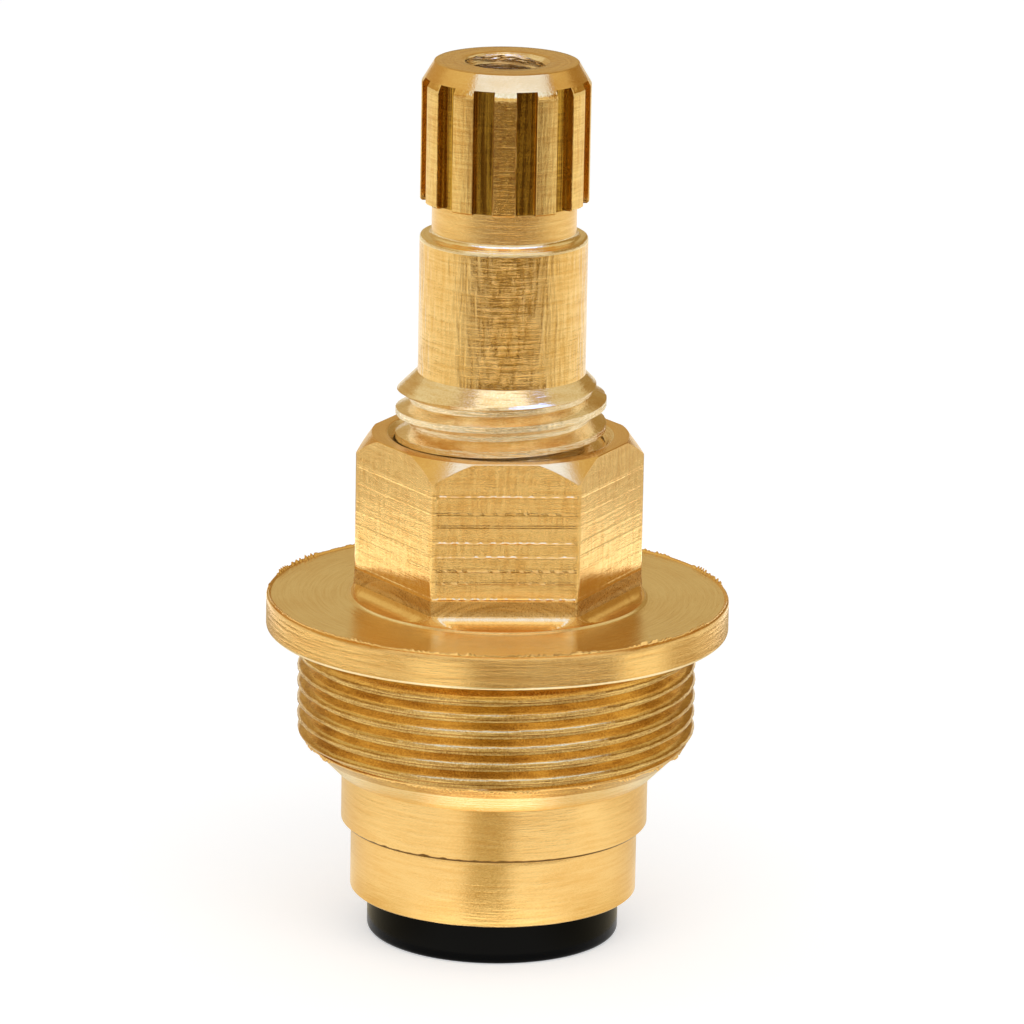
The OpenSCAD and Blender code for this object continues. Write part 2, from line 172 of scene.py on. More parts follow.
class Rows:
    # Collects the rows of one piece: radius, height and angle for every column, the material of the band
    # below, and the row that each one closes onto
    def __init__(self, angle):
        self.angle = angle
        self.r, self.z, self.a, self.material, self.joined = [], [], [], [], []
        self.count = 0

    def add(self, r, z, material=0, angle=None, shift=0):
        shape = np.broadcast_shapes(np.shape(r), np.shape(z), self.angle.shape)
        for part, values in ((self.r, r), (self.z, z), (self.a, self.angle if angle is None else angle),
                (self.material, material)):
            part.append(np.broadcast_to(values, shape))
        self.joined.append(self.count + np.clip(np.arange(shape[0]) + shift, 0, shape[0] - 1))
        self.count += shape[0]

    def turned(self, profile, material=0):
        # Each (radius, height) of the profile becomes one row round the axis
        r, z = np.asarray(profile, float).T
        self.add(column(r), column(z), material)

    def thread(self, surface, low, high, pitch, grooveZ, startDegrees, knots, material=0, upward=False):
        # Rows that follow a right-hand helix: each lies knot + pitch x turn past a groove's middle, and is
        # held between low and high, where its points meet. surface gives the radius at an angle and a height
        turn = (self.angle - self.angle[0, 0]) / fullTurn
        middle = grooveZ + pitch * (self.angle[0, 0] / fullTurn - startDegrees / 360)
        turns = math.ceil((high - low) / pitch) + 3
        past = column((pitch * np.arange(turns)[:, None] + knots).reshape(-1))
        if upward:
            first = middle - pitch * math.ceil((middle - low) / pitch + 1)
            z = first + pitch * turn + past
        else:
            first = middle + pitch * math.ceil((high - middle) / pitch)
            z = first + pitch * turn - past
        z = np.clip(z, low, high)
        self.add(surface(self.angle, z), z, material, shift=len(knots) if upward else -len(knots))

    def build(self, name, materials, poles=None, sharpDegrees=32):
        stacked = [np.vstack(part) for part in (self.r, self.z, self.a)]
        joined, number = np.concatenate(self.joined), np.vstack(self.material)
        piece = gridMesh(name, *stacked, joined, number, poles, sharpDegrees)
        for material in materials:
            piece.data.materials.append(material)
        return piece


# Materials

def linear(code):
    # sRGB hex to linear colour: ((c + 0.055) / 1.055) to the power 2.4 above 0.04045, else c / 12.92
    parts = [int(code[k:k + 2], 16) / 255 for k in (1, 3, 5)]
    return tuple(((c + 0.055) / 1.055) ** 2.4 if c > 0.04045 else c / 12.92 for c in parts) + (1.0,)


def addNode(tree, kind, settings=None, inputs=None):
    # One node with its settings, and with values or links for its sockets
    node = tree.nodes.new("ShaderNode" + kind)
    for key, value in (settings or {}).items():
        setattr(node, key, value)
    for key, value in (inputs or {}).items():
        socket = node.inputs[key]
        if isinstance(value, bpy.types.NodeSocket):
            tree.links.new(value, socket)
        else:
            socket.default_value = value
    return node


def combine(tree, kind, operation, *values):
    # The result of a Math or VectorMath node on up to three values or links
    return addNode(tree, kind, {"operation": operation}, dict(enumerate(values))).outputs[0]


def newMaterial(name):
    material = bpy.data.materials.new(name)
    material.use_nodes = True
    material.node_tree.nodes.clear()
    return material, material.node_tree


def output(tree, shader):
    addNode(tree, "OutputMaterial", None, {"Surface": shader.outputs[0]})


def place(tree):
    # Object coordinates in millimetres
    spot = addNode(tree, "TexCoord")
    scaled = addNode(tree, "VectorMath", {"operation": "SCALE"},
        {0: spot.outputs["Object"], "Scale": 1 / millimetre})
    return scaled.outputs[0]


def noise(tree, spot, mm, detail, roughness=0.5):
    # Noise between 0 and 1 with features of this many mm
    return addNode(tree, "TexNoise", None,
        {"Vector": spot, "Scale": 1 / mm, "Detail": detail, "Roughness": roughness}).outputs["Fac"]


def brassMaterial(name, look):
    # Brass reflects its own yellow, so the colour is the metal's reflectance and the shading is what it
    # reflects
    material, tree = newMaterial(name)
    spot = place(tree)
    parts = addNode(tree, "SeparateXYZ", None, {0: spot}).outputs
    flat = combine(tree, "VectorMath", "MULTIPLY", spot, (1, 1, 0))
    radius = addNode(tree, "VectorMath", {"operation": "LENGTH"}, {0: flat}).outputs["Value"]
    # Rings across the tool's path: by height on a cylinder, by distance from the axis on a face
    across = combine(tree, "Math", "MULTIPLY_ADD", radius, look["faceShare"], parts["Z"])
    ringPlace = addNode(tree, "CombineXYZ", None, {"Z": across})
    slow = look["ringMm"] / look["ringLong"]
    drift = combine(tree, "VectorMath", "MULTIPLY", spot, (slow, slow, 0))
    path = combine(tree, "VectorMath", "ADD", ringPlace.outputs[0], drift)
    rings = noise(tree, path, look["ringMm"], 2, 0.6)
    # Chatter: short streaks along the axis
    tall = combine(tree, "VectorMath", "MULTIPLY", spot, (1, 1, look["streakShare"]))
    streaks = noise(tree, tall, look["streakMm"], 1)
    grain = noise(tree, spot, look["grainMm"], 2)
    stains = noise(tree, spot, look["stainMm"], 3)
    # Height: the rings, streaks and grain, each by its own depth
    height = combine(tree, "Math", "MULTIPLY", rings, look["ringHigh"])
    height = combine(tree, "Math", "MULTIPLY_ADD", streaks, look["streakHigh"], height)
    height = combine(tree, "Math", "MULTIPLY_ADD", grain, look["grainHigh"], height)
    bump = addNode(tree, "Bump", None, {"Height": height, "Strength": 1.0, "Distance": millimetre})
    # Tone: the rings and a share of each other layer, spread about the middle from the deep to the bright
    # colour
    tone = combine(tree, "Math", "MULTIPLY_ADD", stains, look["stainTone"], rings)
    tone = combine(tree, "Math", "MULTIPLY_ADD", grain, look["mottle"], tone)
    tone = combine(tree, "Math", "MULTIPLY_ADD", streaks, look["streakTone"], tone)
    middle = look["toneMiddle"] + 0.5 * (look["mottle"] + look["streakTone"])
    shown = addNode(tree, "MapRange", None,
        {"Value": tone, "From Min": middle - look["toneSpan"], "From Max": middle + look["toneSpan"]})
    colour = addNode(tree, "Mix", {"data_type": "RGBA"},
        {"Factor": shown.outputs[0], "A": linear(look["deep"]), "B": linear(look["bright"])})
    rough = addNode(tree, "MapRange", None, {"Value": grain, "From Min": 0.3, "From Max": 0.7,
        "To Min": look["roughness"] * 0.8, "To Max": look["roughness"] * 1.25})
    # The rings spread a highlight across themselves, which is a quarter turn from the way round the axis
    back = combine(tree, "Math", "MULTIPLY", parts["Y"], -1)
    sweep = addNode(tree, "CombineXYZ", None, {"X": back, "Y": parts["X"]})
    along = addNode(tree, "VectorTransform",
        {"vector_type": "VECTOR", "convert_from": "OBJECT", "convert_to": "WORLD"}, {0: sweep.outputs[0]})
    shader = addNode(tree, "BsdfPrincipled", None, {"Base Color": colour.outputs["Result"], "Metallic": 1.0,
        "Roughness": rough.outputs[0], "Normal": bump.outputs[0], "Anisotropic": look["spread"],
        "Anisotropic Rotation": look["spreadTurn"], "Tangent": along.outputs[0]})
    output(tree, shader)
    return material


def brassLook(**changes):
    # One finish: its two tones, its roughness, how far its highlights spread and which way, the sizes and
    # heights in mm of rings, streaks and grain, and how much streaks, grain (mottle) and stains count in the
    # tone. Rings fade in ringLong mm and are faceShare times as close on a face; a streak's width is
    # streakShare of its length
    look = {
        "bright": "#F6D088",
        "deep": "#EBBD70",
        "roughness": 0.2,
        "spread": 0.6,
        "spreadTurn": 0.25,
        "faceShare": 1.3,
        "ringMm": 0.2,
        "ringLong": 3.0,
        "ringHigh": 0.018,
        "streakMm": 0.2,
        "streakShare": 0.14,
        "streakHigh": 0.0,
        "streakTone": 0.0,
        "grainMm": 0.1,
        "grainHigh": 0.006,
        "mottle": 0.9,
        "stainMm": 4.0,
        "stainTone": 0.7,
        "toneMiddle": 0.8,
        "toneSpan": 0.25,
    }
    look.update(changes)
    return look


# Turned brass: rings left by the lathe tool, so a reflection is drawn out across them
turnedBrass = brassMaterial("turned brass", brassLook())
# Turned brass where the tool chattered: short streaks across the rings make a fine plaid
chatteredBrass = brassMaterial("chattered turned brass", brassLook(deep="#E6B868", roughness=0.14, spread=0.4,
    ringHigh=0.014, streakHigh=0.07, ringMm=0.24, streakMm=0.28, streakTone=0.8, mottle=0.4))
# Skimmed brass: the splined head, finely turned before the grooves were cut, is glossier than the journal
skimmedBrass = brassMaterial("skimmed brass", brassLook(bright="#F4D084", deep="#E2B466", roughness=0.14,
    spread=0.4, ringHigh=0.01, streakHigh=0.022, streakTone=0.8, mottle=0.5))
# Faced brass: the flange's faces, finely ringed, spread the light along the radius
facedBrass = brassMaterial("faced brass", brassLook(bright="#FFEFC4", deep="#F2D7A0", roughness=0.16,
    ringMm=0.16, ringHigh=0.02, grainHigh=0.012))
# Die-cut brass: the flanks of the body thread, darker and glossier than the turned faces
threadBrass = brassMaterial("die-cut brass", brassLook(bright="#E8C67E", deep="#B48A48", roughness=0.15,
    faceShare=0.5, ringMm=0.1, ringLong=2.0, ringHigh=0.02))
# Milled brass: the flats of the hexagon, with a fine scatter left by the cutter
milledBrass = brassMaterial("milled brass", brassLook(roughness=0.14, spread=0.4, faceShare=0.0,
    ringHigh=0.004, streakHigh=0.014, streakMm=0.24, streakTone=1.0, mottle=0.5))
# Broached brass: the torn floors of the spline grooves, darker, with streaks along the stroke
broachedBrass = brassMaterial("broached brass", brassLook(bright="#C69C3E", deep="#8E6420", mottle=0.15,
    spreadTurn=0.0, ringHigh=0.003, streakHigh=0.03, streakMm=0.22, streakShare=0.03, streakTone=3.0,
    grainHigh=0.002))
# Drilled brass: bores, dull with oxide; on the foot of the hexagon's flats and its radius, painted shade
boredBrassAndShade = brassMaterial("drilled brass and painted shade", brassLook(bright="#DDB46C", deep="#B08645", roughness=0.3))
# Brass with painted seam shade: faces inside the seams, darkened to stand in for the shade there
seamShadeBrass = brassMaterial("brass with painted seam shade", brassLook(bright="#7A5A28", deep="#4A3414", roughness=0.35))
# Chased brass: the lead thread, cut with a sharp tool and worn bright by the nut
chasedBrass = brassMaterial("chased brass", brassLook(bright="#FFF2D4", deep="#F0D4A0", roughness=0.17,
    faceShare=0.5, ringMm=0.13, ringLong=2.0, ringHigh=0.034))

# The finishes of the turned pieces, in the order of their material slots, and the number of each
brassFinishes = (turnedBrass, threadBrass, milledBrass, boredBrassAndShade, broachedBrass, chatteredBrass, facedBrass,
    chasedBrass, skimmedBrass, seamShadeBrass)
turned, threaded, milled, boredAndShaded, broached = range(5)
chattered, faced, chased, skimmed, seamShade = range(5, len(brassFinishes))

# The grain of the pieces that aren't brass, in mm, and its darkest share of the colour
plainGrain = {
    "size": 0.3,
    "high": 0.01,
    "darkest": 0.7,
}


def plainMaterial(name, code, roughness, metallic, specular=0.5):
    # A fine even grain in colour, gloss and height
    material, tree = newMaterial(name)
    level = noise(tree, place(tree), plainGrain["size"], 4)
    base = linear(code)
    darker = tuple(plainGrain["darkest"] * c for c in base[:3]) + (1.0,)
    colour = addNode(tree, "Mix", {"data_type": "RGBA"}, {"Factor": level, "A": darker, "B": base})
    rough = addNode(tree, "MapRange", None,
        {"Value": level, "To Min": roughness * 0.8, "To Max": min(roughness * 1.25, 1)})
    bump = addNode(tree, "Bump", None,
        {"Height": level, "Strength": 0.5, "Distance": plainGrain["high"] * millimetre})
    shader = addNode(tree, "BsdfPrincipled", None, {"Base Color": colour.outputs["Result"],
        "Metallic": metallic, "Roughness": rough.outputs[0], "Normal": bump.outputs[0],
        "Specular IOR Level": specular})
    output(tree, shader)
    return material


# Moulded nitrile rubber: near black with a dull sheen
washerRubber = plainMaterial("moulded nitrile rubber", "#020303", roughness=0.24, metallic=0.0, specular=0.06)
# Greased nitrile rubber: cord rings, a little shinier
ringRubber = plainMaterial("greased nitrile rubber", "#101111", roughness=0.3, metallic=0.0, specular=0.4)
# Vulcanised fibre: a hard red-brown card without shine
thrustFibre = plainMaterial("vulcanised fibre", "#8C3A2C", roughness=0.7, metallic=0.0, specular=0.4)
# Spring steel, drawn as wire: grey with a clear highlight
clipSteel = plainMaterial("spring steel", "#B9BCC0", roughness=0.25, metallic=1.0)


# Spindle

spindleSizes = {
    "headR": 5.03,
    "flatR": 4.28,
    "coneH": 1.25,
    "splines": 12,
    "grooveHalf": 0.62,
    "floorR": 4.5,
    "floorShares": [-1, -0.95, -0.5, 0, 0.5, 0.95, 1],
    "floorDegrees": [-6.9, -6.4, -3.4, 0, 3.4, 6.4, 6.9],
    "floorFillet": 0.03,
    "wallDegrees": 7.2,
    "grooveStop": 0.95,
    "toothDegrees": 266.5,
    "toothEdge": 0.04,
    "toothColumns": 15,
    "toothRows": [1.6, 2.2],
    "toothLowZ": 50.4,
    "flatRows": [3.1, 3.9],
    "holeR": 2.1,
    "holeThreadR": 2.5,
    "holePitch": 0.8,
    "holeRootFlat": 0.1,
    "holeCrestFlat": 0.22,
    "holeFlank": 0.3,
    "holeDepth": 12,
    "holeDegrees": 238,
    "threadShown": 6,
    "sinkR": 2.51,
    "drillPointH": 1.26,
    "neckR": 4.31,
    "neckFillet": 0.3,
    "neckRows": [44.6, 44.0],
    "journalR": 5.01,
    "brokenEdge": 0.1,
    "tornMm": 0.012,
    "tornBand": 0.2,
    "tornWaves": (30, 130, 0.3, 3),
    "threadFoot": 21.45,
    "reliefR": 5.35,
    "reliefH": 1.57,
    "pistonR": 6.93,
    "ringFloorR": 5.68,
    "ringHalf": 0.95,
    "boreR": 3.05,
    "boreH": 7.7,
    "boreTipH": 1.8,
    "clipBoreR": 3.5,
    "clipLow": 11.88,
    "clipHigh": 12.68,
}


def splineColumns(size):
    # One period of the head, from groove to groove: the groove's floor as flat (x, y) points with its middle
    # along +X, the tooth as angles on a circle, and for each column the angle it has on plain round rows
    half, edge = size["grooveHalf"], size["toothEdge"]
    floorY = np.array(size["floorShares"]) * half
    floorX = size["floorR"] + size["floorFillet"] * (abs(floorY) == half)
    period = fullTurn / size["splines"]
    toothStart = math.asin((half + edge) / size["headR"])
    tooth = np.linspace(toothStart, period - toothStart, size["toothColumns"])
    wall = math.radians(size["wallDegrees"])
    roundAngle = np.concatenate([[-wall], np.radians(size["floorDegrees"]), [wall], tooth])
    return floorX, floorY, tooth, period, roundAngle


def splineRow(size, outerR, z):
    # Radius, height and angle of every column where the outline is splined, for rows of the given outer
    # radius and height
    floorX, floorY, tooth, period = splineColumns(size)[:4]
    half, edge = size["grooveHalf"], size["toothEdge"]
    outerR, z = column(outerR), column(z)
    wallX = np.sqrt((outerR - edge) ** 2 - half ** 2)
    x = np.hstack([wallX, floorX + 0 * outerR, wallX, outerR * np.cos(tooth)])
    y = np.hstack([-half + 0 * outerR, floorY + 0 * outerR, half + 0 * outerR, outerR * np.sin(tooth)])
    r, a = np.hypot(x, y), np.arctan2(y, x)
    start = math.radians(size["toothDegrees"]) + period / 2
    turn = start + period * np.arange(size["splines"])
    r = np.tile(r, size["splines"])
    a = np.hstack([a + t for t in turn])
    return r, z + 0 * r, a


def leadSurface(angle, z, size):
    # Radius of the spindle's thread: root, flank and crest by the height above the groove's middle, held
    # under the chamfers at both ends and above the relief; the crests are torn a little
    d = abs(fromGroove(angle, z, *spindleGroove))
    r = leadThread["rootR"] + leadDepth * np.clip((d - leadThread["rootFlat"] / 2) / leadRun, 0, 1)
    crest = np.clip((r - leadThread["crestR"] + size["tornBand"]) / size["tornBand"], 0, 1)
    r = r + crest * (size["tornMm"] * waves(angle, z, *size["tornWaves"]) - size["tornMm"])
    foot = heights["pistonTop"] + size["reliefH"]
    r = np.minimum(r, size["journalR"] + heights["journal"] - z)
    r = np.minimum(r, np.maximum(size["reliefR"], size["reliefR"] + z - foot))
    return np.clip(r, size["journalR"], leadThread["crestR"])


def holeSurface(angle, z, size):
    # Radius of the tapped hole: the drilled size, with a right-hand V groove cut outwards
    d = abs(fromGroove(angle, z, size["holePitch"], heights["top"], size["holeDegrees"]))
    depth = size["holeThreadR"] - size["holeR"]
    up = np.clip((d - size["holeRootFlat"] / 2) / (size["holeFlank"] * size["holePitch"]), 0, 1)
    return size["holeThreadR"] - depth * up


def makeSpindle(size):
    period, roundAngle = splineColumns(size)[3:]
    start = math.radians(size["toothDegrees"]) + period / 2
    angle = np.hstack([roundAngle + start + period * k for k in range(size["splines"])])[None, :]
    rows = Rows(angle)
    top, neck, head, journal = heights["top"], heights["neck"], heights["head"], heights["journal"]
    holeR, journalR, neckR, fillet = size["holeR"], size["journalR"], size["neckR"], size["neckFillet"]
    holeFoot = top - size["holeDepth"]
    threadLow = top - size["threadShown"]
    sinkFoot = top - size["sinkR"] + holeR
    # Tapped hole, from its foot up to the countersink
    rows.turned([(holeR * 0.5, holeFoot - size["drillPointH"] / 2), (holeR, holeFoot),
        (holeR, threadLow)], boredAndShaded)
    knots = threadKnots(size["holeRootFlat"], size["holeCrestFlat"], size["holePitch"])
    rows.thread(lambda a, z: holeSurface(a, z, size), threadLow + 0.02, sinkFoot, size["holePitch"], top,
        size["holeDegrees"], knots, chased, upward=True)
    z = steps(sinkFoot + 0.04, top - 0.02, 6)
    sink = size["sinkR"] - (top - z)
    rows.add(np.maximum(holeSurface(angle, z, size), sink), z, chased)
    # Flat top with a soft broken edge, then the cone
    rows.add(column([size["sinkR"] + 0.02, *size["flatRows"], size["flatR"] - 0.03]), top, skimmed)
    coneR = lambda z: size["flatR"] + (size["headR"] - size["flatR"]) * (top - z) / size["coneH"]
    z = steps(top - 0.02, top - size["grooveStop"] + 0.03, 5)
    rows.add(coneR(z), z)
    # Teeth: cone, edge and cylinder, then the head's lower face
    below = [size["grooveStop"], size["grooveStop"] + 0.12, size["coneH"] - 0.03, size["coneH"] + 0.03]
    z = np.concatenate([top - np.array(below + size["toothRows"]),
        np.linspace(size["toothLowZ"], head + 0.3, 7), [head + 0.1]])
    outer = np.minimum(coneR(z), size["headR"])
    number = np.arange(roundAngle.size)
    onFloor = (number > 0) & (number < len(size["floorShares"]))
    finish = np.tile(np.where(onFloor, broached, skimmed), size["splines"])
    r, z, a = splineRow(size, outer, z)
    rows.add(r, z, finish, a)
    r, z, a = splineRow(size, [size["headR"] - 0.1], [head])
    rows.add(r, z, turned, a)
    # Neck, its fillet, and the journal
    rows.add(neckR, column([head, *size["neckRows"]]))
    turn = np.radians(steps(0, 90, 6))
    rows.add(neckR + fillet * (1 - np.cos(turn)), neck + fillet * (1 - np.sin(turn)), faced)
    edge = size["brokenEdge"]
    rows.turned([(journalR - 1.6 * edge, neck), (journalR - 0.5 * edge, neck - 0.5 * edge),
        (journalR, neck - 1.6 * edge)], faced)
    rows.add(journalR, steps(neck - 0.3, journal + 0.3, 23), chattered)
    # Lead thread
    rows.thread(lambda a, z: leadSurface(a, z, size), size["threadFoot"], journal - 0.02, *spindleGroove,
        leadKnots, chased)
    # Relief, piston with its two ring grooves, and the foot
    pistonR, boreR = size["pistonR"], size["boreR"]
    piston, pistonTop = heights["piston"], heights["pistonTop"]
    boreTop = piston + size["boreH"]
    profile = [(size["reliefR"], pistonTop + size["reliefH"]), (size["reliefR"], pistonTop),
        (pistonR - edge, pistonTop), (pistonR, pistonTop - edge)]
    for middle in (heights["upperRing"], heights["lowerRing"]):
        high, low = middle + size["ringHalf"], middle - size["ringHalf"]
        profile += [(pistonR, high), (size["ringFloorR"], high), (size["ringFloorR"], low), (pistonR, low)]
    profile += [(pistonR, piston + 0.3), (pistonR - 0.3, piston), (boreR + 0.3, piston),
        (boreR, piston + 0.3), (boreR, size["clipLow"]), (size["clipBoreR"], size["clipLow"]),
        (size["clipBoreR"], size["clipHigh"]), (boreR, size["clipHigh"]), (boreR, boreTop)]
    rows.turned(profile, boredAndShaded)
    ends = (holeFoot - size["drillPointH"], boreTop + size["boreTipH"])
    piece = rows.build("spindleTurned", brassFinishes, ends)
    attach(piece, "spindle")
    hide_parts("spindle")
    return piece


spindle = makeSpindle(spindleSizes)
print("spindle:", len(spindle.data.polygons), "faces")


# Bonnet

bonnetSizes = {
    "apothem": 7.5,
    "cornerR": 8.66,
    "cornerEdge": 0.04,
    "cornerColumn": 0.006,
    "columnsPerSide": 60,
    "minorR": 5.55,
    "mouthR": 6.75,
    "topR": 7.7,
    "chamferH": 1.3,
    # Height below which the hexagon's flats are darkened as painted shade
    "shadeBandZ": 22.5,
    "footR": 0.95,
    "footDegrees": [3, 12, 22, 32, 42, 52, 62, 72, 80, 87],
    "landR": 8.85,
    "landH": 0.12,
    "flangeInnerR": 9.6,
    "flangeR": 13.895,
    "flangeEdge": 0.1,
    "flangeLowEdge": 0.22,
    "flangeLowDegrees": [4, 14, 24, 34, 46, 60, 78],
    "seatR": 12.9,
    "seatReliefR": 12.2,
    "seatReliefH": 0.1,
    "reliefR": 11.29,
    "reliefH": 0.55,
    "threadR": 12.0,
    "threadPitch": 1.0,
    "threadSection": [(0, 0.61), (0.07, 0.6), (0.2, 0.4), (0.3, 0.24), (0.38, 0.13), (0.46, 0.06),
        (0.56, 0.02), (0.64, 0), (0.69, 0.015), (0.72, 0.08), (0.9, 0.56), (0.94, 0.61), (1, 0.61)],
    "threadKnots": [0.67, 0.81],
    "threadDegrees": 123,
    "threadLow": 1.2,
    "chamferRun": 2.4,
    "chamferSteps": [1.18, 0.8, 0.4, 0.04],
    "tornBand": 0.3,
    "tornMm": 0.01,
    "tornLip": (0.6, 0.74),
    "tornShares": (1.6, 0.6),
    "tornWaves": (40, 170, 0.5, 11),
    "skirtR": 9.25,
    "skirtEdge": 0.06,
    "tearDegrees": 245,
    "tearMm": 0.07,
    "tearBase": 0.09,
    "tearWaves": (24, 70, 0, 31),
    "boreR": 7.0,
    "boreRowZ": 12,
}

# Lines that the cutter's feed left on the flats, as (height, strength), and the dashes that they are made of
feedSizes = {
    "lines": [(28.92, 1.0), (27.86, 0.5), (27.1, 0.3), (26.1, 1.0), (25.25, 0.9), (24.4, 0.5), (23.65, 0.4),
        (22.66, 1.3)],
    "high": 0.06,
    "half": 0.075,
    "rows": [1.6, 1, 0, -1, -1.6],
    "deepFlat": 4,
    "otherFlats": 0.25,
    "acrossShare": 0.49,
    "dashMm": 0.74,
    "dashLevel": 0.78,
    "dashFine": 0.27,
    "dashSlow": 0.15,
    "slowPerMm": 1.3,
}


def bonnetLead(angle, z, size):
    # Radius of the lead thread in the bonnet: the spindle's ridge with the play round it, in a bore of the
    # minor size
    d = abs(fromGroove(angle, z, *bonnetGroove))
    halfAtRoot = leadThread["pitch"] / 2 - leadThread["rootFlat"] / 2 + leadThread["play"]
    r = leadThread["rootR"] + (halfAtRoot - d) / (leadRun / leadDepth)
    return np.clip(r, size["minorR"], leadThread["crestR"] + leadThread["play"])


def bodyThread(angle, z, size):
    # Radius of the body thread by the share of a pitch below a groove's middle, through the points of its
    # section, less a fine tear that is deeper on the crest's lower lip. It is held under the chamfer at its
    # end
    pitch, full = size["threadPitch"], size["threadR"]
    below = (-fromGroove(angle, z, pitch, heights["flange"], size["threadDegrees"])) % pitch
    share, depth = np.asarray(size["threadSection"]).T
    r = full - np.interp(below / pitch, share, depth)
    crest = np.clip((r - full + size["tornBand"]) / size["tornBand"], 0, 1)
    tear = size["tornMm"] * (waves(angle, z, *size["tornWaves"]) - 1.2)
    lipTop, lipFoot = size["tornLip"]
    r = r + np.where((below > lipTop) & (below < lipFoot), *size["tornShares"]) * crest * tear
    return np.minimum(np.minimum(r, full - size["chamferRun"] + z - heights["threadEnd"]), full)


def feedRidges(size, apothem, fromFlat, side):
    # Rows down a flat: five for each feed line, whose middle one stands out by high x dash. The dash is a
    # wave across the flat plus a slow one. The flat at the front has the deepest lines
    across = apothem * np.tan(fromFlat)
    flat = np.floor(np.arange(across.size) / (across.size / 6))[None, :]
    depth = np.where(flat == size["deepFlat"], 1.0, size["otherFlats"])
    inside = abs(fromFlat) < size["acrossShare"] * side
    z, rise = [], []
    for k, (height, strength) in enumerate(size["lines"]):
        fine = size["dashFine"] * np.cos(fullTurn * across / size["dashMm"] + 2.1 * k)
        slow = size["dashSlow"] * np.cos(size["slowPerMm"] * across + 1.7 * k)
        dash = np.clip(size["dashLevel"] + fine + slow, 0.05, 1)
        line = size["high"] * strength * depth * dash * inside
        z += [height + share * size["half"] for share in size["rows"]]
        rise += [line * (share == 0) for share in size["rows"]]
    return column(z), np.vstack(rise)


